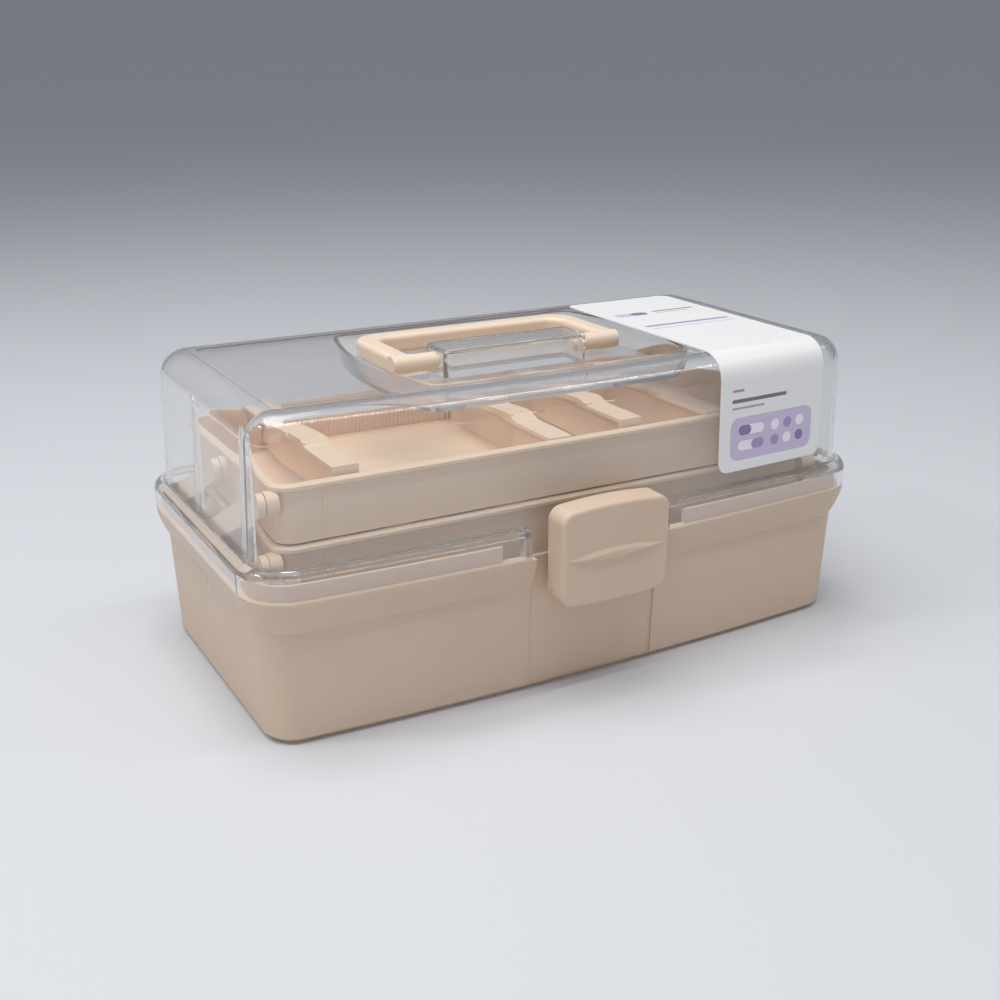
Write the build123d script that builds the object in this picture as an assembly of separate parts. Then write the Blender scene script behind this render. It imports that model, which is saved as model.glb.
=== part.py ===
from build123d import *
import math
import os

# Medicine storage box with a clear lid and two trays that fan out on side arms.
# Millimetres. X runs along the box, -Y is the latch side, +Z is up.
# The origin is the centre of the base's underside.

# Clearances
running = 0.05
gap = 0.3

# Base tub
rim_length = 320.0
rim_depth = 160.0
front_bow = 6.0
rim_corner = 22.0
tight_corner = 6.0
ledge_z = 67.0
band_height = 14.5
band_overhang = 5.2
band_round = 5.0
base_draft = 2.3
base_wall = 2.4
base_floor = 3.0
foot_chamfer = 3.0
lip_height = 7.0
lip_setback = 4.6
lip_wall = 2.2
panel_step = 0.8

# Lid
lid_wall = 2.2
skirt_height = 14.0
lid_height = 76.0
lid_draft = 2.5
lid_edge_round = 12.5
top_panel_inset = 23.0
top_panel_step = 0.8

# Handle
handle_length = 124.0
handle_reach = 50.0
handle_thickness = 9.0
handle_band = 10.5
handle_corner = 13.0
handle_inner_corner = 8.0
handle_round = 2.5
handle_clear = 2.0
handle_pin_radius = 2.5
handle_stub_step = 0.2

# Handle recess in the lid's top and the bracket that stands in it
recess_end_room = 3.5
recess_side_room = 5.0
recess_bulge = 10.0
recess_depth = 11.5
recess_slope = 4.0
recess_corner = 8.0
bracket_length = 78.0
bracket_depth = 21.6
bracket_rise = 1.6
bracket_wall = 2.0
bracket_corner = 3.0
bracket_edge = 1.2

# Latch
latch_width = 56.0
latch_height = 43.0
latch_above_ledge = 22.8
latch_arch = 1.7
latch_depth = 12.5
latch_stand = 12.0
latch_wall = 2.2
latch_corner = 6.0
latch_edge_round = 2.0
latch_pin_radius = 1.5
latch_pivot_rise = 5.3
latch_pivot_set = 8.0
latch_lug = 4.0
latch_side_gap = 5.5
ridge_length = 51.0
ridge_half = 2.8
ridge_stand = 1.6
ridge_lean = 45.0
catch_height = 3.0
catch_inset = 1.9
catch_drop = 7.8
catch_side_room = 4.0
niche_side_room = 8.0
panel_side_room = 6.0
lip_gap_side_room = 20.5

# Trays
tray_end_room = 18.0
tray_side_room = 20.0
tray_corner = 10.0
tray_height = 26.0
tray_gap = 1.0
tray_head_room = 33.0
tray_wall = 1.8
tray_floor = 2.0
tray_skirt = 4.0
tray_bead = 1.6
tray_bead_height = 3.0
tray_bead_edge = 0.8
tray_draft = 1.0
pocket_draft = 0.8

# Side arms and the bosses that they turn on
boss_radius = 5.5
boss_height = 4.0
pin_below_rim = 8.0
front_pin_margin = 6.0
rear_pin_margin = 8.0
arm_width = 10.0
arm_thickness = 3.0
arm_pin_radius = 2.5
pivot_skin = 0.8

# Lid hinge
hinge_spacing = 190.0
hinge_barrel = 24.0
hinge_radius = 4.0
hinge_pin_radius = 2.0
hinge_stand = 4.6
hinge_rise = 3.0
hinge_lug = 5.0
hinge_side_gap = 0.4

# Dividers
divider_width = 12.0
divider_above_rim = 2.0
divider_web = 1.6
divider_step = 1.8
divider_step_y = 22.0
divider_step_run = 6.0
divider_end_round = 4.0
divider_slot = 1.1
divider_slot_top = 5.0
divider_slots = 4
upper_divider_share = (-0.384, -0.014, 0.12, 0.296)
upper_divider_lift = (3.5, 0.0, 3.5, 0.0)
lower_divider_count = 4

# Label card
label_past_recess = 3.5
label_end_room = 26.0
label_drop = 56.0
label_thickness = 0.5
label_clear = 0.15
label_corner = 5.0

# Sizes that follow from the ones above
far = 2 * rim_depth
lid_top_z = ledge_z + lid_height
band_z = ledge_z - band_height
skirt_top_z = ledge_z + skirt_height
recess_floor_z = lid_top_z - recess_depth
panel_top_z = lid_top_z - top_panel_step
recess_half_length = handle_length / 2 + recess_end_room
recess_half_depth = handle_reach + recess_side_room
pivot_z = recess_floor_z + handle_clear + handle_thickness / 2
hinge_y = rim_depth / 2 + hinge_stand
hinge_z = ledge_z + hinge_rise
latch_top_z = ledge_z + latch_above_ledge
latch_front_y = -rim_depth / 2 - front_bow - latch_stand
catch_width = latch_width - 2 * catch_side_room
catch_top_z = latch_top_z - catch_drop
tray_length = rim_length - 2 * tray_end_room
tray_depth = rim_depth - 2 * tray_side_room
tray_pitch = tray_height + tray_gap
tray_rim_z = lid_top_z - tray_head_room
tray_end = tray_length / 2 - tray_bead
pocket_half_x = tray_end - tray_wall
pocket_half_y = tray_depth / 2 - tray_bead - tray_wall
front_pin_y = front_pin_margin - tray_depth / 2
arm_span = (tray_depth - front_pin_margin - rear_pin_margin) / 2
arm_inner_x = tray_end + boss_height + gap
arm_outer_x = arm_inner_x + arm_thickness
divider_height = tray_height - tray_skirt - tray_floor + divider_above_rim
label_left = recess_half_length + label_past_recess
label_right = rim_length / 2 - label_end_room


def outline(half_x, half_y, bow, corner, z):
    """Plan outline with rounded corners and a front that bows outward."""
    right = Line((half_x, -half_y), (half_x, half_y))
    rear = Line((half_x, half_y), (-half_x, half_y))
    left = Line((-half_x, half_y), (-half_x, -half_y))
    if bow:
        front = ThreePointArc((-half_x, -half_y), (0, -half_y - bow), (half_x, -half_y))
    else:
        front = Line((-half_x, -half_y), (half_x, -half_y))
    face = make_face(Curve() + [right, rear, left, front])
    return Pos(0, 0, z) * fillet(face.vertices(), corner)


def inset(amount, z):
    """The rim's outline drawn in by an amount."""
    half_x = rim_length / 2 - amount
    half_y = rim_depth / 2 - amount
    return outline(half_x, half_y, front_bow, max(rim_corner - amount, tight_corner), z)


def prism(amount, low, high):
    """Straight block on an inset outline between two heights."""
    return extrude(inset(amount, low), high - low)


def leaning(face, rise, run):
    """Block on a flat face whose walls move in by a run over its rise."""
    return extrude(face, rise, taper=math.degrees(math.atan(run / rise)))


def hanging(face, drop, run):
    """Block below a flat face whose walls move in by a run over its drop."""
    return mirror(leaning(face, drop, run), Plane.XY.offset(face.center().Z))


def block(x0, x1, y0, y1, z0, z1):
    """Box between two corners."""
    centre = Pos((x0 + x1) / 2, (y0 + y1) / 2, (z0 + z1) / 2)
    return centre * Box(x1 - x0, y1 - y0, z1 - z0)


def middle_block(half, y0, y1, z0, z1):
    """Box centred on the box's middle."""
    return block(-half, half, y0, y1, z0, z1)


def rod(radius, x0, x1, y, z):
    """Cylinder along X between two ends, given in either order."""
    return Pos((x0 + x1) / 2, y, z) * Rot(0, 90, 0) * Cylinder(radius, abs(x1 - x0))


def top_edges(solid):
    return solid.faces().sort_by(Axis.Z)[-1].edges()


def bottom_edges(solid):
    return solid.faces().sort_by(Axis.Z)[0].edges()


def hinge_centres():
    return -hinge_spacing / 2, hinge_spacing / 2


def hinge_lug_pair(centre):
    """Two lugs on the rear band at one hinge, bored for the lid's stub pins."""
    rear = rim_depth / 2
    low = ledge_z - band_height / 2
    slant = hinge_radius * math.sin(math.pi / 4)
    web = Polyline((rear - 1, low), (rear - 1, ledge_z), (rear, ledge_z),
                   (hinge_y - slant, hinge_z + slant), (hinge_y + hinge_radius, hinge_z),
                   (rear, low), close=True)
    lugs = []
    for side in (-1, 1):
        inner = centre + side * (hinge_barrel / 2 + hinge_side_gap)
        outer = inner + side * hinge_lug
        eye = rod(hinge_radius, inner, outer, hinge_y, hinge_z)
        plate = extrude(Plane.YZ.offset(min(inner, outer)) * make_face(web), hinge_lug)
        bore = rod(hinge_pin_radius + running, inner - side, outer + side, hinge_y, hinge_z)
        lugs.append(eye + plate - bore)
    return lugs


def latch_axis():
    """Y and Z of the line that the latch turns on."""
    y = latch_front_y + latch_pivot_set
    z = latch_top_z - latch_height + latch_pivot_rise
    return y, z


def latch_lugs():
    """Two lugs on the front wall whose stub pins carry the latch."""
    y, z = latch_axis()
    outer = latch_width / 2 - latch_wall - gap
    wall_y = band_overhang - front_bow - rim_depth / 2 + base_wall / 2
    radius = latch_pivot_rise - latch_wall - 2 * gap
    lugs = []
    for side in (-1, 1):
        x0, x1 = sorted((side * outer, side * (outer - latch_lug)))
        bar = block(x0, x1, y, wall_y, z - radius, z + radius)
        eye = rod(radius, x0, x1, y, z)
        pin = rod(latch_pin_radius, side * (outer - 1), side * (latch_width / 2 - gap), y, z)
        lugs.append(bar + eye + pin)
    return lugs


def base_tub():
    """Tub with leaning walls, a rolled rim band and an inner lip that the lid drops over."""
    wall = hanging(inset(band_overhang, band_z), band_z, base_draft)
    wall = chamfer(bottom_edges(wall), foot_chamfer)
    wall += prism(band_overhang, band_z, ledge_z)
    band = prism(0, band_z, ledge_z)
    band = fillet(bottom_edges(band), band_round)
    band -= middle_block(latch_width / 2 + latch_side_gap, -far, 0, band_z - 1, ledge_z + 1)
    lip_top = ledge_z + lip_height
    lip = prism(lip_setback, ledge_z - 1, lip_top)
    lip -= middle_block(latch_width / 2 + lip_gap_side_room, -far, 0, ledge_z, lip_top + 1)
    tub = wall + band + lip
    panel = middle_block(latch_width / 2 + panel_side_room, -far, 0, foot_chamfer, band_z)
    tub -= panel - hanging(inset(band_overhang + panel_step, band_z), band_z, base_draft)
    mouth = lip_setback + lip_wall
    floor_inset = band_overhang + base_draft + base_wall
    tub -= hanging(inset(mouth, lip_top + 1), lip_top + 1 - base_floor, floor_inset - mouth)
    for centre in hinge_centres():
        for lug in hinge_lug_pair(centre):
            tub += lug
    for lug in latch_lugs():
        tub += lug
    for side in (-1, 1):
        for y, z in base_pins():
            inner = rim_length / 2 - band_overhang - base_draft - base_wall - 1
            tub -= rod(arm_pin_radius + running, side * inner, side * (rim_length / 2 + 1), y, z)
    return tub


def lid_body(grow):
    """Outer form of the lid's walls and top, grown outward by an amount."""
    top = lid_top_z + grow
    body = leaning(inset(band_overhang - grow, ledge_z), top - ledge_z, lid_draft)
    return fillet(top_edges(body), lid_edge_round + grow)


def recess_outline(grow, z):
    """Handle recess outline: straight long sides and ends that bow outward."""
    half_x = recess_half_length + grow
    half_y = recess_half_depth + grow
    tip = half_x + recess_bulge
    right = ThreePointArc((half_x, -half_y), (tip, 0), (half_x, half_y))
    rear = Line((half_x, half_y), (-half_x, half_y))
    left = ThreePointArc((-half_x, half_y), (-tip, 0), (-half_x, -half_y))
    front = Line((-half_x, -half_y), (half_x, -half_y))
    face = make_face(Curve() + [right, rear, left, front])
    return Pos(0, 0, z) * fillet(face.vertices(), recess_corner + grow)


def recess_block(grow, floor_z):
    """Block that fills the handle recess down to a floor, grown by an amount."""
    return hanging(recess_outline(grow, panel_top_z), panel_top_z - floor_z, recess_slope)


def handle_bracket():
    """Outer block, hollow and pin bore of the bracket that stands in the recess."""
    top_z = lid_top_z + bracket_rise
    low_z = recess_floor_z - lid_wall
    half_x = bracket_length / 2
    half_y = bracket_depth / 2
    outer = block(-half_x, half_x, -half_y, half_y, low_z, top_z)
    outer = fillet(outer.edges().filter_by(Axis.Z), bracket_corner)
    outer = chamfer(top_edges(outer), bracket_edge)
    inner_x = half_x - bracket_wall
    inner_y = half_y - bracket_wall
    hollow = block(-inner_x, inner_x, -inner_y, inner_y, low_z - 1, top_z - bracket_wall)
    bore = rod(handle_pin_radius + running, -half_x - 1, half_x + 1, 0, pivot_z)
    return outer, hollow, bore


def lid_barrels():
    """Hinge barrels on the rear skirt with a stub pin at each end."""
    neck_y = rim_depth / 2 - lid_wall / 2
    barrels = []
    for centre in hinge_centres():
        x0 = centre - hinge_barrel / 2
        x1 = centre + hinge_barrel / 2
        barrel = rod(hinge_radius, x0, x1, hinge_y, hinge_z)
        neck = block(x0, x1, neck_y, hinge_y, ledge_z + 2 * gap, hinge_z + hinge_radius)
        pin_end = hinge_lug - gap
        pin = rod(hinge_pin_radius, x0 - pin_end, x1 + pin_end, hinge_y, hinge_z)
        barrels.append(barrel + neck + pin)
    return barrels


def clear_lid():
    """One clear moulding: walls, flared skirt, latch niche, handle recess and bracket."""
    body = lid_body(0)
    skirt = prism(0, ledge_z, skirt_top_z)
    skirt = fillet(top_edges(skirt), band_overhang)
    niche = middle_block(latch_width / 2 + niche_side_room, -far, 0, ledge_z - 1, skirt_top_z + 1)
    outer = body + (skirt - niche)
    inner = leaning(inset(band_overhang + lid_wall, ledge_z), lid_height - lid_wall, lid_draft)
    inner = fillet(top_edges(inner), lid_edge_round - lid_wall)
    inner += prism(band_overhang + lid_wall, ledge_z - 1, ledge_z)
    skirt_inner = prism(lid_wall, ledge_z - 1, skirt_top_z - lid_wall)
    skirt_inner = chamfer(top_edges(skirt_inner), band_overhang - lid_wall)
    keep = latch_width / 2 + niche_side_room + lid_wall
    skirt_inner -= middle_block(keep, -far, 0, ledge_z - 2, skirt_top_z)
    lid = outer - inner - skirt_inner
    lid -= extrude(inset(top_panel_inset, panel_top_z), top_panel_step + 1)
    lid += recess_block(lid_wall, recess_floor_z - lid_wall)
    lid -= recess_block(0, recess_floor_z)
    bracket, hollow, bore = handle_bracket()
    lid = lid + bracket - hollow - bore
    catch = prism(catch_inset, catch_top_z - catch_height, catch_top_z)
    catch &= middle_block(catch_width / 2, -far, 0, ledge_z, lid_top_z)
    lid += catch - leaning(inset(band_overhang + lid_wall / 2, ledge_z), lid_height, lid_draft)
    for barrel in lid_barrels():
        lid += barrel
    return lid


def rear_uprights(solid):
    """The two upright edges at the rear of a block."""
    return solid.edges().filter_by(Axis.Z).sort_by(Axis.Y)[-2:]


def carry_handle():
    """Flat loop whose stub ends turn in the bracket; it lies folded to the rear."""
    half = handle_length / 2
    inner = half - handle_band
    round_end = handle_thickness / 2
    loop = block(-half, half, 0, handle_reach, -round_end, round_end)
    loop = fillet(rear_uprights(loop), handle_corner)
    hole = block(-inner, inner, -1, handle_reach - handle_band, -round_end - 1, round_end + 1)
    loop -= fillet(rear_uprights(hole), handle_inner_corner)
    upper = [edge for edge in top_edges(loop) if edge.center().Y > 1]
    loop = fillet(upper, handle_round)
    lower = [edge for edge in bottom_edges(loop) if edge.center().Y > 1]
    loop = chamfer(lower, handle_round * 2 / 3)
    bracket_end = bracket_length / 2
    for side in (-1, 1):
        loop += rod(round_end, side * half, side * inner, 0, 0)
        loop += rod(round_end - handle_stub_step, side * (inner + 1), side * (bracket_end + gap), 0, 0)
        pin_end = bracket_end - bracket_wall - 1
        loop += rod(handle_pin_radius, side * (bracket_end + 1), side * pin_end, 0, 0)
    return Pos(0, 0, pivot_z) * loop


def latch_face(drawn_in):
    """Latch outline seen from the front, with arched top and bottom edges."""
    half = latch_width / 2 - drawn_in
    top = latch_top_z - drawn_in
    low = latch_top_z - latch_height + drawn_in
    right = Line((half, low), (half, top))
    upper = ThreePointArc((half, top), (0, top + latch_arch), (-half, top))
    left = Line((-half, top), (-half, low))
    lower = ThreePointArc((-half, low), (0, low - latch_arch), (half, low))
    face = make_face(Curve() + [right, upper, left, lower])
    return fillet(face.vertices(), latch_corner - drawn_in)


def finger_ridge():
    """Almond-shaped ridge across the middle of the latch's front."""
    half = ridge_length / 2
    bend = (half ** 2 + ridge_half ** 2) / (2 * ridge_half)
    upper = RadiusArc((half, 0), (-half, 0), -bend)
    lower = RadiusArc((-half, 0), (half, 0), -bend)
    almond = make_face(Curve() + [upper, lower])
    ridge_z = latch_top_z - latch_height / 2
    front = Plane.XZ.offset(-latch_front_y) * Pos(0, ridge_z) * almond
    return extrude(front, ridge_stand, taper=ridge_lean)


def front_latch():
    """Shell-shaped cover that turns on two pins low down and snaps over the lid's catch."""
    back = latch_front_y + latch_depth
    body = extrude(Plane.XZ.offset(-latch_front_y) * latch_face(0), -latch_depth)
    body = fillet(body.faces().sort_by(Axis.Y)[0].edges(), latch_edge_round)
    inner_face = Plane.XZ.offset(-latch_front_y - latch_wall) * latch_face(latch_wall)
    body -= extrude(inner_face, -latch_depth)
    nose_z = catch_top_z + 2 * gap
    nose_top = nose_z + latch_wall
    nose = middle_block(catch_width / 2, latch_front_y + 1, 0, nose_z, nose_top)
    body += nose - prism(catch_inset - gap, nose_z - 1, nose_top + 1)
    y, z = latch_axis()
    body -= rod(latch_pin_radius + running, -latch_width, latch_width, y, z)
    low = latch_top_z - latch_height - latch_arch - 1
    inner = latch_width / 2 - latch_wall
    for side in (-1, 1):
        x0, x1 = sorted((side * inner, side * (inner - latch_lug - 3 * gap)))
        body -= block(x0, x1, latch_front_y + latch_wall, back + 1, low, z)
    return body + finger_ridge()


def upper_pins():
    """Y and Z of the upper tray's two pivots at rest."""
    z = tray_rim_z - pin_below_rim
    return [(front_pin_y + arm_span * n, z) for n in (0, 1)]


def lower_pins():
    """Y and Z of the lower tray's three pivots at rest."""
    z = tray_rim_z - tray_pitch - pin_below_rim
    return [(front_pin_y + arm_span * n, z) for n in (0, 1, 2)]


def base_pins():
    """Y and Z of the two pivots in the base's end walls."""
    z = tray_rim_z - 2 * tray_pitch - pin_below_rim
    return [(front_pin_y + arm_span * n, z) for n in (1, 2)]


def tray(rim_z, pins, rests):
    """Open tray with a rim bead, a raised floor and bosses on its ends.

    The pivots are blind, so that the pocket's end walls stay smooth inside."""
    bottom = rim_z - tray_height
    half_y = tray_depth / 2 - tray_bead
    corner = tray_corner - tray_bead
    body = hanging(outline(tray_end, half_y, 0, corner, rim_z), tray_height, tray_draft)
    bead_z = rim_z - tray_bead_height
    bead = extrude(outline(tray_length / 2, tray_depth / 2, 0, tray_corner, bead_z), tray_bead_height)
    bead = chamfer(list(top_edges(bead)) + list(bottom_edges(bead)), tray_bead_edge)
    body += bead
    floor_z = bottom + tray_skirt + tray_floor
    pocket_corner = corner - tray_wall
    pocket = outline(pocket_half_x, pocket_half_y, 0, pocket_corner, rim_z + 1)
    body -= hanging(pocket, rim_z + 1 - floor_z, pocket_draft)
    under = outline(pocket_half_x - tray_draft, pocket_half_y - tray_draft, 0,
                    pocket_corner - tray_draft, bottom)
    body -= extrude(under, tray_skirt)
    for side in (-1, 1):
        root = tray_end - tray_draft - gap
        for y, z in pins + rests:
            body += rod(boss_radius, side * root, side * (tray_end + boss_height), y, z)
        for y, z in pins:
            inner = pocket_half_x + pivot_skin
            body -= rod(arm_pin_radius + running, side * inner, side * (tray_end + boss_height + 1), y, z)
    return body


def rest_bosses():
    """Plain bosses on the lower tray's ends, halfway between its two rear pivots."""
    _, middle, rear = lower_pins()
    return [((middle[0] + rear[0]) / 2, middle[1])]


def arm(points, side, inward, outward):
    """Flat bar with round ends that runs through the points.

    Its pins go inward into the trays, or outward into the base's end wall."""
    (y0, z0), (y1, z1) = points
    low_x = min(side * arm_inner_x, side * arm_outer_x)
    flat = Plane(origin=(low_x, (y0 + y1) / 2, (z0 + z1) / 2), x_dir=(0, y1 - y0, z1 - z0), z_dir=(1, 0, 0))
    slot = SlotCenterToCenter(math.hypot(y1 - y0, z1 - z0), arm_width)
    bar = extrude(flat * slot, arm_thickness)
    for y, z in inward:
        pin_end = pocket_half_x + pivot_skin + gap
        bar += rod(arm_pin_radius, side * (arm_inner_x + 1), side * pin_end, y, z)
    for y, z in outward:
        pin_end = rim_length / 2 - band_overhang - gap
        bar += rod(arm_pin_radius, side * (arm_outer_x - 1), side * pin_end, y, z)
    return bar


def arms(side):
    """Long arm through both trays, and a short arm beside it at each level."""
    up, low, base = upper_pins(), lower_pins(), base_pins()
    long_arm = arm([base[1], up[0]], side, [low[1], up[0]], [base[1]])
    front_arm = arm([base[0], low[0]], side, [low[0]], [base[0]])
    rear_arm = arm([low[2], up[1]], side, [low[2], up[1]], [])
    return long_arm, front_arm, rear_arm


def divider(x, floor_z):
    """Removable divider: a web under a stepped top flange, with slotted end flanges."""
    half = pocket_half_y - pocket_draft - gap
    shoulder = divider_height - divider_step
    step_in = divider_step_y - divider_step_run / 2
    step_out = divider_step_y + divider_step_run / 2
    profile = make_face(Polyline((-half, 0), (-half, shoulder), (-step_out, shoulder),
                                 (-step_in, divider_height), (step_in, divider_height),
                                 (step_out, shoulder), (half, shoulder), (half, 0), close=True))
    ends = profile.vertices().sort_by(Axis.Y)[-4:].sort_by(Axis.X)
    profile = fillet([ends[0], ends[-1]], divider_end_round)
    solid = extrude(Plane.YZ.offset(-divider_width / 2) * profile, divider_width)
    skin = divider_web
    for side in (-1, 1):
        x0, x1 = sorted((side * skin / 2, side * divider_width))
        solid -= block(x0, x1, skin - half, half - skin, -1, shoulder - skin)
    pitch = divider_width / (divider_slots + 1)
    for n in range(divider_slots):
        centre = (n - (divider_slots - 1) / 2) * pitch
        x0 = centre - divider_slot / 2
        x1 = centre + divider_slot / 2
        for y0, y1 in ((-half - 1, skin - half), (half - skin, half + 1)):
            solid -= block(x0, x1, y0, y1, -1, shoulder - divider_slot_top)
    return Pos(x, 0, floor_z) * solid


def label_card():
    """Thin card over the lid's top that bends down over the front."""
    sheet = lid_body(label_clear + label_thickness) - lid_body(label_clear)
    rear = rim_depth / 2 - top_panel_inset
    region = block(label_left, label_right, -far, rear, lid_top_z - label_drop, lid_top_z + 5)
    region = fillet(rear_uprights(region), label_corner)
    low = region.edges().filter_by(Axis.Y).sort_by(Axis.Z)[:2]
    return sheet & fillet(low, label_corner)


def divider_positions():
    """Node name, X position and floor height of every divider."""
    upper_floor = tray_rim_z - tray_height + tray_skirt + tray_floor
    rows = []
    for n, (share, lift) in enumerate(zip(upper_divider_share, upper_divider_lift), 1):
        rows.append((f"upper_divider_{n}", share * tray_length, upper_floor + lift))
    spacing = tray_length / (lower_divider_count + 1)
    for n in range(lower_divider_count):
        x = (n - (lower_divider_count - 1) / 2) * spacing
        rows.append((f"lower_divider_{n + 1}", x, upper_floor - tray_pitch))
    return rows


def build():
    """Every separate piece by its name."""
    pieces = {
        "base_tub": base_tub(),
        "clear_lid": clear_lid(),
        "carry_handle": carry_handle(),
        "front_latch": front_latch(),
        "upper_tray": tray(tray_rim_z, upper_pins(), []),
        "lower_tray": tray(tray_rim_z - tray_pitch, lower_pins(), rest_bosses()),
        "label_card": label_card(),
    }
    for side, name in ((-1, "left"), (1, "right")):
        long_arm, front_arm, rear_arm = arms(side)
        pieces[f"long_arm_{name}"] = long_arm
        pieces[f"lower_front_arm_{name}"] = front_arm
        pieces[f"upper_rear_arm_{name}"] = rear_arm
    for name, x, floor_z in divider_positions():
        pieces[name] = divider(x, floor_z)
    return pieces


os.makedirs("parts", exist_ok=True)
for name, solid in build().items():
    export_step(solid, f"parts/{name}.step")
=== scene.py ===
import math
import bmesh
import bpy
from mathutils import Matrix, Vector


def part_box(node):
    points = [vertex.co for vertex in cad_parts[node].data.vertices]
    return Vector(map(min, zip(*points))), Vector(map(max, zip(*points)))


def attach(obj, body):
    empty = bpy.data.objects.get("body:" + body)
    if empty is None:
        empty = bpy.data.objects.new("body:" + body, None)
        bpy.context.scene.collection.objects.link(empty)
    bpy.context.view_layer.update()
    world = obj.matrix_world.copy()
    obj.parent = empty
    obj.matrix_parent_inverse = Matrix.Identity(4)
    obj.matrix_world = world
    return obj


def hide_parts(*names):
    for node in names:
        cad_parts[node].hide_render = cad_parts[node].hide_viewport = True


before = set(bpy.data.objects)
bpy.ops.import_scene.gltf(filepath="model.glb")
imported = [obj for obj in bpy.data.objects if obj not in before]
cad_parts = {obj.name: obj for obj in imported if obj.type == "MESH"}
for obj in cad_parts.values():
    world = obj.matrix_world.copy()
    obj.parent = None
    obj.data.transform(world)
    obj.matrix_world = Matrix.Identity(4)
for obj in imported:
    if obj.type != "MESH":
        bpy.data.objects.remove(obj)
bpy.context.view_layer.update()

MM = 0.001

# Sizes are in millimetres unless a comment says otherwise.
SAME_POINT = 0.001               # vertices closer than this are one

# The base tub's rim, seen from above
HALF_LENGTH, BACK = 160, 80
CORNER_RADIUS, FRONT_CORNER_Y = 22, -59.5
BOW_RADIUS, BOW_CENTRE_Y = 2136.3, 2050.3
NOTCH = 33.4                     # half width of the latch notch, where nothing is rolled

# The same rim from the side
RIM_TOP, CREASE = 67, 52.5       # the band's top edge, and the crease under it
ROUND = 5                        # the round under the plain band
ROLL = 5.1                       # how far in the rolled band ends, at the crease
STILL = 5.2                      # how far in from the outline everything stays where it is
BAND_LEVELS = (53.5, 55, 56.5, 59, 61, 63, 65)


# Colours and nodes

def linear(code):
    """Linear colour of an sRGB hex code."""
    parts = [int(code[i:i + 2], 16) / 255 for i in (1, 3, 5)]
    return tuple(c / 12.92 if c <= 0.04045 else ((c + 0.055) / 1.055) ** 2.4
                 for c in parts) + (1.0,)


def add(tree, kind, settings=None, **inputs):
    """Adds a node. Settings are the node's own fields. Inputs are values or sockets, by the
    input's name with _ for a space, or by n and its number."""
    made = tree.nodes.new(kind)
    for field, value in (settings or {}).items():
        setattr(made, field, value)
    for name, value in inputs.items():
        numbered = name[0] == "n" and name[1:].isdigit()
        socket = made.inputs[int(name[1:]) if numbered else name.replace("_", " ")]
        if isinstance(value, bpy.types.NodeSocket):
            tree.links.new(value, socket)
        else:
            socket.default_value = value
    return made


def blank(name):
    """An empty material with its output."""
    material = bpy.data.materials.new(name)
    material.use_nodes = True
    tree = material.node_tree
    tree.nodes.clear()
    return material, tree, tree.nodes.new("ShaderNodeOutputMaterial")


# Polypropylene moulded in a spark-textured tool: a soft sheen that lets a little light in, faint
# shading where the melt flowed, and a fine grain, drawn at 0.5 mm, which is coarser than the real
# one, so that it shows.
def moulded_polypropylene(name, body, shade, roughness):
    material, tree, out = blank(name)
    place = add(tree, "ShaderNodeTexCoord").outputs["Object"]
    grain = add(tree, "ShaderNodeTexNoise", Vector=place, Scale=1 / (0.5 * MM), Detail=2.0)
    flow = add(tree, "ShaderNodeTexNoise", Vector=place, Scale=1 / (45 * MM), Detail=3.0)
    tint = add(tree, "ShaderNodeMix", {"data_type": "RGBA"}, n0=flow.outputs["Fac"],
               n6=linear(body), n7=linear(shade))
    rough = add(tree, "ShaderNodeMapRange", Value=flow.outputs["Fac"],
                To_Min=roughness - 0.04, To_Max=roughness + 0.05)
    bump = add(tree, "ShaderNodeBump", Height=grain.outputs["Fac"], Distance=0.02 * MM,
               Strength=0.12)
    shader = add(tree, "ShaderNodeBsdfPrincipled", Base_Color=tint.outputs[2],
                 Roughness=rough.outputs[0], Normal=bump.outputs[0], IOR=1.49,
                 Subsurface_Weight=0.12, Subsurface_Radius=(1.0, 0.6, 0.4),
                 Subsurface_Scale=2.0 * MM)
    tree.links.new(shader.outputs[0], out.inputs[0])
    return material


# Clarified polypropylene, injection moulded thin: water-clear with a slight haze and long shallow
# flow waves. Rays that carry light to what is inside go straight through, as they do through a
# real thin wall.
def clear_polypropylene(name):
    material, tree, out = blank(name)
    place = add(tree, "ShaderNodeTexCoord").outputs["Object"]
    waves = add(tree, "ShaderNodeTexNoise", Vector=place, Scale=1 / (30 * MM), Detail=2.0)
    bump = add(tree, "ShaderNodeBump", Height=waves.outputs["Fac"], Distance=0.4 * MM,
               Strength=0.25)
    rough = add(tree, "ShaderNodeMapRange", Value=waves.outputs["Fac"], To_Min=0.015, To_Max=0.05)
    shader = add(tree, "ShaderNodeBsdfPrincipled", Base_Color=linear("#FBFCFD"),
                 Roughness=rough.outputs[0], Normal=bump.outputs[0], IOR=1.49,
                 Transmission_Weight=0.93)
    through = add(tree, "ShaderNodeBsdfTransparent", Color=linear("#F8F9FA"))
    path = add(tree, "ShaderNodeLightPath")
    lit = add(tree, "ShaderNodeMath", {"operation": "MAXIMUM"}, n0=path.outputs["Is Shadow Ray"],
              n1=path.outputs["Is Diffuse Ray"])
    both = add(tree, "ShaderNodeMixShader", Fac=lit.outputs[0], n1=shader.outputs[0],
               n2=through.outputs[0])
    tree.links.new(both.outputs[0], out.inputs[0])
    return material


# Inks of the card
LILAC, VIOLET, MAUVE, PALE_LILAC = "#CDBFDB", "#8E78A8", "#A892BF", "#F1ECF5"
GREY, PALE_GREY, ROSE = "#77757A", "#A9A7AB", "#B98A8E"

# Half size and corner radius of the shapes that the card has more than once
CAPSULE, CAPSULE_END, TABLET = ((8, 2.4), 2.39), ((3.9, 2.4), 2.39), ((2.6, 2.6), 2.59)

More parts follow.
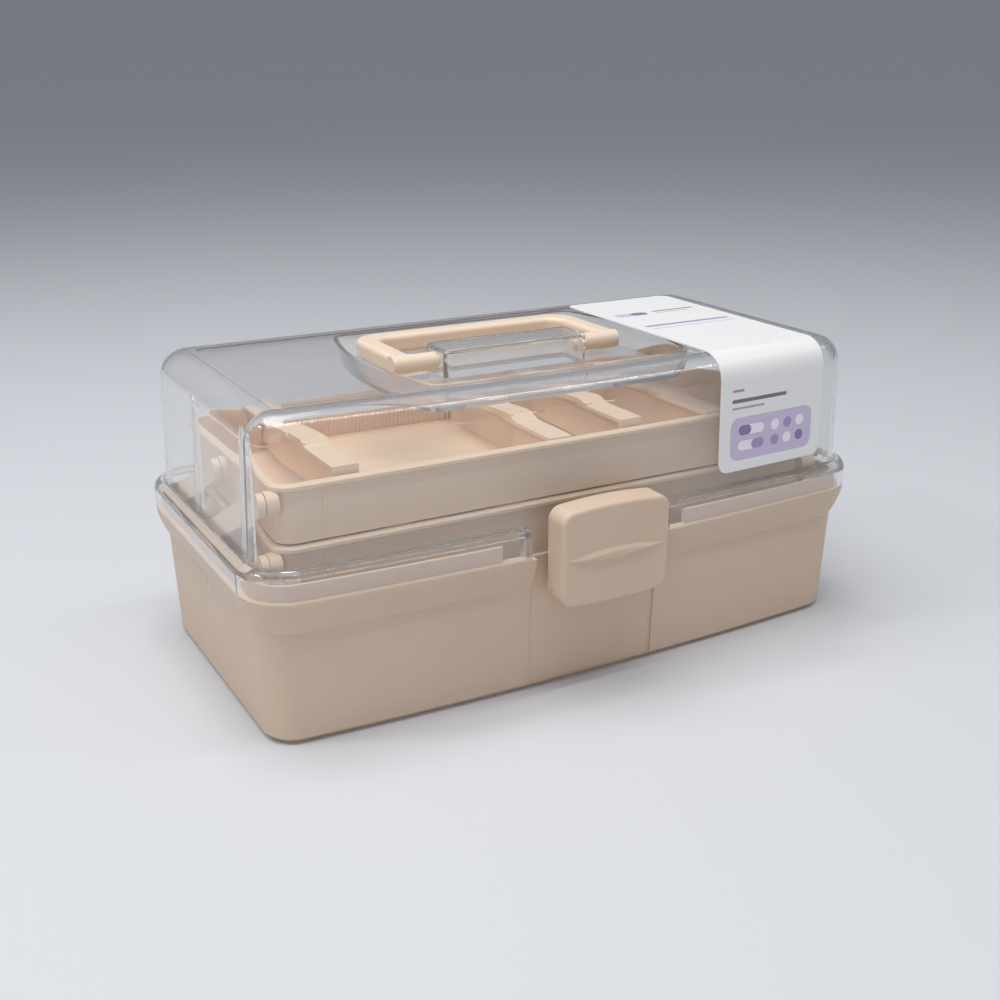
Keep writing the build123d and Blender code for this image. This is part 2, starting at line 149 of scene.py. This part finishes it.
# Shapes printed on the card's front: centre by x and z, half size, corner radius, ink
FRONT_PRINTS = (
    ((101.5, 102.5), (26, 10.5), 5, LILAC),
    ((88.5, 106.5), *CAPSULE, PALE_LILAC),
    ((84.4, 106.5), *CAPSULE_END, VIOLET),
    ((88.5, 99), *CAPSULE, PALE_LILAC),
    ((92.6, 99), *CAPSULE_END, MAUVE),
    ((103.5, 106.5), *TABLET, PALE_LILAC),
    ((103.5, 99), *TABLET, MAUVE),
    ((111.5, 106.5), *TABLET, MAUVE),
    ((111.5, 99), *TABLET, PALE_LILAC),
    ((119.5, 106.5), *TABLET, PALE_LILAC),
    ((119.5, 99), *TABLET, VIOLET),
    ((93, 121), (17, 0.9), 0.5, GREY),
    ((86, 117.5), (10, 0.5), 0.3, PALE_GREY),
    ((79.5, 126), (3.5, 0.6), 0.3, ROSE),
)

# The same on its top, with the centre by x and y
TOP_PRINTS = (
    ((86, 20), (10, 3), 2.99, LILAC),
    ((91, 20), (5, 3), 2.99, VIOLET),
    ((114, 22), (13, 0.9), 0.4, GREY),
    ((111, 18), (10, 0.5), 0.3, PALE_GREY),
    ((101.5, -8), (26, 1.4), 1.3, MAUVE),
    ((101.5, -14), (26, 0.6), 0.5, LILAC),
)


def printed_patch(tree, axes, centre, half, corner):
    """1 inside a rounded rectangle on the card, 0 outside."""
    squares = []
    for line, middle, size in zip(axes, centre, half):
        for operation, amount in (("SUBTRACT", middle * MM), ("ABSOLUTE", 0.0),
                                  ("SUBTRACT", (size - corner) * MM), ("MAXIMUM", 0.0),
                                  ("POWER", 2.0)):
            line = add(tree, "ShaderNodeMath", {"operation": operation}, n0=line,
                       n1=amount).outputs[0]
        squares.append(line)
    far = add(tree, "ShaderNodeMath", {"operation": "ADD"}, n0=squares[0], n1=squares[1])
    return add(tree, "ShaderNodeMath", {"operation": "LESS_THAN"}, n0=far.outputs[0],
               n1=(corner * MM) ** 2).outputs[0]


# Coated card, offset printed: bright white and smooth, with a faint fibre mottle and flat lilac
# and grey ink.
def printed_card(name):
    material, tree, out = blank(name)
    place = add(tree, "ShaderNodeTexCoord").outputs["Object"]
    x, y, z = add(tree, "ShaderNodeSeparateXYZ", Vector=place).outputs
    mottle = add(tree, "ShaderNodeTexNoise", Vector=place, Scale=1 / (4 * MM), Detail=4.0)
    ink = add(tree, "ShaderNodeMix", {"data_type": "RGBA"}, n0=mottle.outputs["Fac"],
              n6=linear("#F0F0EF"), n7=linear("#E9E9E8")).outputs[2]
    on_front = add(tree, "ShaderNodeMath", {"operation": "LESS_THAN"}, n0=y, n1=-60 * MM)
    on_top = add(tree, "ShaderNodeMath", {"operation": "GREATER_THAN"}, n0=z, n1=143.2 * MM)
    for side, along, prints in ((on_front, z, FRONT_PRINTS), (on_top, y, TOP_PRINTS)):
        for centre, half, corner, colour in prints:
            patch = printed_patch(tree, (x, along), centre, half, corner)
            mask = add(tree, "ShaderNodeMath", {"operation": "MULTIPLY"}, n0=patch,
                       n1=side.outputs[0])
            ink = add(tree, "ShaderNodeMix", {"data_type": "RGBA"}, n0=mask.outputs[0], n6=ink,
                      n7=linear(colour)).outputs[2]
    bump = add(tree, "ShaderNodeBump", Height=mottle.outputs["Fac"], Distance=0.02 * MM,
               Strength=0.2)
    shader = add(tree, "ShaderNodeBsdfPrincipled", Base_Color=ink, Roughness=0.38,
                 Normal=bump.outputs[0])
    tree.links.new(shader.outputs[0], out.inputs[0])
    return material


beige = moulded_polypropylene("beige_moulded_polypropylene", "#D9C2AD", "#D2B9A2", 0.42)
ivory = moulded_polypropylene("ivory_moulded_polypropylene", "#F0DDC9", "#EAD3BB", 0.34)
cream = moulded_polypropylene("cream_moulded_polypropylene", "#EFD2B3", "#E8C9A6", 0.38)
clear = clear_polypropylene("clear_polypropylene")
card = printed_card("white_coated_card")

finishes = {"base_tub": beige, "front_latch": beige, "carry_handle": ivory, "clear_lid": clear,
            "label_card": card}
for name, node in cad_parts.items():
    node.data.materials.clear()
    node.data.materials.append(finishes.get(name, cream))


# Pieces

def finished(name, form, material, body):
    """Turns a bmesh into a piece that moves with a body."""
    bmesh.ops.recalc_face_normals(form, faces=form.faces)
    mesh = bpy.data.meshes.new(name)
    form.to_mesh(mesh)
    form.free()
    mesh.materials.append(material)
    piece = bpy.data.objects.new(name, mesh)
    bpy.context.scene.collection.objects.link(piece)
    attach(piece, body)
    return piece


def whole(form):
    """Everything made so far in a bmesh."""
    return form.verts[:] + form.edges[:] + form.faces[:]


def bar(form, low, high, edge):
    """Box between two corners with softened edges. Returns its vertices."""
    made = bmesh.ops.create_cube(form, size=1)["verts"]
    bmesh.ops.scale(form, verts=made, vec=[(b - a) * MM for a, b in zip(low, high)])
    bmesh.ops.translate(form, verts=made, vec=[(a + b) / 2 * MM for a, b in zip(low, high)])
    cut = bmesh.ops.bevel(form, geom=list({e for v in made for e in v.link_edges}),
                          offset=edge * MM, offset_type="OFFSET", segments=1, affect="EDGES",
                          profile=0.5, material=-1)
    return cut["verts"]


def leant(form, verts, lean, y, z):
    """Leans upright bars outward with height and stands them against a wall."""
    bmesh.ops.rotate(form, verts=verts, cent=(0, 0, 0), matrix=Matrix.Rotation(-lean, 3, "X"))
    bmesh.ops.translate(form, verts=verts, vec=(0, y * MM, z * MM))


def copy_across(form, mirror):
    """Adds a mirrored copy of everything made so far."""
    made = bmesh.ops.duplicate(form, geom=whole(form))["geom"]
    copies = [part for part in made if isinstance(part, bmesh.types.BMVert)]
    bmesh.ops.scale(form, verts=copies, vec=mirror)


def tray_ribs(tray, body, dividers):
    """Comb ribs inside both long walls. Where a divider stands, short ones enter its slots. A
    fine upright ridge stands near each corner outside."""
    pitch, half, rib_low, rib_high = 2.1, 0.4, -0.9, 0.3
    inner_lean, inner_wall, floor_height = math.atan(0.8 / 21), 4.2, 6
    outer_lean, outer_wall = math.atan(1 / 26), 2.6
    low, high = [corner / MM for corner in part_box(tray)]
    floor_z = low[2] + floor_height
    held = [[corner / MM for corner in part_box(name)] for name in dividers]
    places = [(n * pitch, high[2] - 1.2) for n in range(-62, 63)]
    places = [(x, top) for x, top in places
              if not any(a[0] - 2 * half < x < b[0] + 2 * half for a, b in held)]
    places += [((a[0] + b[0]) / 2 + slot, floor_z + 15)
               for a, b in held for slot in (-3.6, -1.2, 1.2, 3.6)]
    form = bmesh.new()
    for x, top in places:
        rib = bar(form, (x - half, rib_low, 0), (x + half, rib_high, top - floor_z), 0.18)
        leant(form, rib, inner_lean, high[1] - inner_wall, floor_z)
    for x in (-120, 120):
        ridge = bar(form, (x - 0.7, -0.3, 0.8), (x + 0.7, 0.65, 22.6), 0.25)
        leant(form, ridge, outer_lean, high[1] - outer_wall, low[2])
    copy_across(form, (1, -1, 1))
    finished(f"{tray}_ribs", form, cream, body)


def divider_teeth(divider, body):
    """Upright teeth between the slots on both ends of a divider, up to just under its flange."""
    flange, gap, proud, depth = 1.8, 1.5, 0.2, 1.2
    low, high = [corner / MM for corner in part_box(divider)]
    middle = (low[0] + high[0]) / 2
    top = high[2] - flange - gap
    form = bmesh.new()
    for off, half in ((-5.0, 0.9), (-2.4, 0.6), (0, 0.6), (2.4, 0.6), (5.0, 0.9)):
        for y0, y1 in ((low[1] - proud, low[1] + depth), (high[1] - depth, high[1] + proud)):
            bar(form, (middle + off - half, y0, low[2] + 0.3), (middle + off + half, y1, top), 0.15)
    finished(f"{divider}_teeth", form, cream, body)


def lid_end_ribs():
    """Two clear upright ribs inside each end wall of the lid, with slanted tops."""
    half, inner, outer, slant = 2.6, 148.9, 152.2, 1.1
    wall_foot, wall_lean = 152.5, 0.0339
    form = bmesh.new()
    for y, low, high in ((-54, 77, 133), (11, 79, 130)):
        for v in bar(form, (inner, y - half, low), (outer, y + half, high), 0.5):
            lean = (v.co.z / MM - RIM_TOP) * wall_lean
            v.co.x = min(v.co.x, (wall_foot - lean) * MM)
            if v.co.z > (high - 2) * MM:
                v.co.z += (v.co.y / MM - y) * slant * MM
    copy_across(form, (-1, 1, 1))
    finished("lid_end_ribs", form, clear, "lid")


def pivot_pip(arm, body, y, z):
    """The end of a base pivot in the end wall: a low dome on a shoulder, spun round the pin."""
    outline = ((-1.2, 0), (-1.2, 1.5), (0.1, 1.75), (0.28, 1.6), (0.42, 1.1), (0.5, 0))
    low, high = [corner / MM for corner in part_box(arm)]
    side = 1 if high[0] > 0 else -1
    end = high[0] if side > 0 else low[0]
    form = bmesh.new()
    line = [form.verts.new(((end + side * out) * MM, y * MM, (z + radius) * MM))
            for out, radius in outline]
    edges = [form.edges.new(pair) for pair in zip(line, line[1:])]
    bmesh.ops.spin(form, geom=line + edges, cent=(0, y * MM, z * MM), axis=(1, 0, 0),
                   angle=math.tau, steps=20, use_merge=True)
    bmesh.ops.remove_doubles(form, verts=form.verts, dist=SAME_POINT * MM)
    finished(f"{arm}_pip", form, cream, body)


def rim_inset(x, y):
    """Distance in from the rim's outline, which has round corners and a bowed front, and the
    way out."""
    side = 1 if x > 0 else -1
    corner_y = BACK - CORNER_RADIUS if y > 0 else FRONT_CORNER_Y
    corner = Vector((side * (HALF_LENGTH - CORNER_RADIUS), corner_y, 0))
    away = Vector((x, y, 0)) - corner
    if away.x * side > 0 and away.y * corner.y > 0:
        return CORNER_RADIUS - away.length, away.normalized()
    bow = Vector((x, y - BOW_CENTRE_Y, 0))
    walls = ((HALF_LENGTH - abs(x), Vector((side, 0, 0))), (BACK - y, Vector((0, 1, 0))),
             (BOW_RADIUS - bow.length, bow.normalized()))
    return min(walls, key=lambda wall: wall[0])


def rolled_base():
    """The base tub with its rim band rolled in towards the crease under it."""
    form = bmesh.new()
    form.from_mesh(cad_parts["base_tub"].data)
    bmesh.ops.remove_doubles(form, verts=form.verts, dist=SAME_POINT * MM)
    for z in BAND_LEVELS:
        bmesh.ops.bisect_plane(form, geom=whole(form), dist=0.0001 * MM, plane_co=(0, 0, z * MM),
                               plane_no=(0, 0, 1))
    for v in form.verts:
        x, y, z = v.co / MM
        below = max(CREASE + ROUND - z, 0)
        plain = ROUND - math.sqrt(max(ROUND ** 2 - below ** 2, 0))
        inset, out = rim_inset(x, y)
        in_band = CREASE - 0.1 < z < RIM_TOP - 0.01 and plain - 0.1 < inset < STILL
        in_notch = abs(x) < NOTCH and y < 0
        if in_band and not in_notch:
            rolled = ROLL * ((RIM_TOP - z) / (RIM_TOP - CREASE)) ** 1.5
            v.co -= out * (rolled - plain) * (STILL - inset) / (STILL - plain) * MM
    for face in form.faces:
        face.smooth = True
    base = finished("rolled_base_tub", form, beige, "base")
    copied = base.data.attributes.get("custom_normal")  # shading from before the merge and roll
    if copied:
        base.data.attributes.remove(copied)
    base.data.set_sharp_from_angle(angle=math.radians(28))
    even = base.modifiers.new("even_shading", "WEIGHTED_NORMAL")
    even.keep_sharp = True
    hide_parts("base_tub")


for level in ("upper", "lower"):
    tray_ribs(f"{level}_tray", f"{level}_tray_body",
              [f"{level}_divider_{n}" for n in (1, 2, 3, 4)])
for n in (1, 2, 3, 4):
    divider_teeth(f"upper_divider_{n}", f"divider_{n}")
    divider_teeth(f"lower_divider_{n}", "lower_tray_body")
lid_end_ribs()
for side in ("left", "right"):
    pivot_pip(f"long_arm_{side}", f"long_arm_{side[0]}", y=52, z=48)
    pivot_pip(f"lower_front_arm_{side}", f"front_arm_{side[0]}", y=-1, z=48)
rolled_base()


# Floor, light and camera, in metres

def lamp(name, place, target, width, depth, power):
    """Soft flat lamp aimed at a point. Its power is in watts."""
    data = bpy.data.lights.new(name, "AREA")
    data.shape = "RECTANGLE"
    data.size = width
    data.size_y = depth
    data.energy = power
    made = bpy.data.objects.new(name, data)
    aim = (Vector(target) - Vector(place)).to_track_quat("-Z", "Y")
    made.matrix_world = Matrix.Translation(place) @ aim.to_matrix().to_4x4()
    bpy.context.scene.collection.objects.link(made)


def pale_floor():
    """A wide plain floor."""
    material, tree, out = blank("pale_floor")
    shader = add(tree, "ShaderNodeBsdfPrincipled", Base_Color=linear("#D3D5D9"), Roughness=0.6)
    tree.links.new(shader.outputs[0], out.inputs[0])
    form = bmesh.new()
    bmesh.ops.create_grid(form, x_segments=1, y_segments=1, size=60)
    mesh = bpy.data.meshes.new("floor")
    form.to_mesh(mesh)
    form.free()
    mesh.materials.append(material)
    floor = bpy.data.objects.new("floor", mesh)
    bpy.context.scene.collection.objects.link(floor)


def studio_world():
    """Even pale light. Seen directly, mirrored or through the lid, it has the shade that the
    floor has far off."""
    world = bpy.data.worlds.new("studio")
    world.use_nodes = True
    tree = world.node_tree
    tree.nodes.clear()
    out = add(tree, "ShaderNodeOutputWorld")
    path = add(tree, "ShaderNodeLightPath")
    bent = add(tree, "ShaderNodeMath", {"operation": "MAXIMUM"}, n0=path.outputs["Is Glossy Ray"],
               n1=path.outputs["Is Transmission Ray"])
    seen = add(tree, "ShaderNodeMath", {"operation": "MAXIMUM"}, n0=path.outputs["Is Camera Ray"],
               n1=bent.outputs[0])
    light = add(tree, "ShaderNodeBackground", Color=linear("#C9CCD2"), Strength=0.5)
    shown = add(tree, "ShaderNodeBackground", Color=linear("#777A81"), Strength=1.0)
    mix = add(tree, "ShaderNodeMixShader", Fac=seen.outputs[0], n1=light.outputs[0],
              n2=shown.outputs[0])
    tree.links.new(mix.outputs[0], out.inputs[0])
    bpy.context.scene.world = world


def camera():
    """The photograph's own viewpoint, in the object's frame."""
    data = bpy.data.cameras.new("camera")
    data.sensor_width = 36
    data.lens = 46.21
    data.shift_x = -0.0077
    data.shift_y = -0.0115
    data.clip_start = 0.01
    made = bpy.data.objects.new("camera", data)
    heading = Matrix.Rotation(math.radians(-29.62), 4, "Z")
    tilt = Matrix.Rotation(math.radians(90 - 19.25), 4, "X")
    roll = Matrix.Rotation(math.radians(0.14), 4, "Z")
    place = Matrix.Translation((-0.29992, -0.52801, 0.27979))
    made.matrix_world = place @ (heading @ tilt @ roll)
    bpy.context.scene.collection.objects.link(made)
    bpy.context.scene.camera = made


pale_floor()
studio_world()
lamp("key", (-0.3, 0.1, 1.45), (0, 0, 0.05), width=1.1, depth=1.1, power=13.5)
lamp("fill", (-0.9, -1.3, 0.7), (0, 0, 0.05), width=1.0, depth=1.0, power=3)
lamp("strip", (0.4, -0.45, 1.25), (0.4, 0, 0.1), width=2.0, depth=0.06, power=5)
lamp("glint", (-1.0, 0.2, 1.0), (0, 0, 0.1), width=0.15, depth=0.15, power=2.5)
bpy.context.scene.view_settings.view_transform = "Standard"
camera()
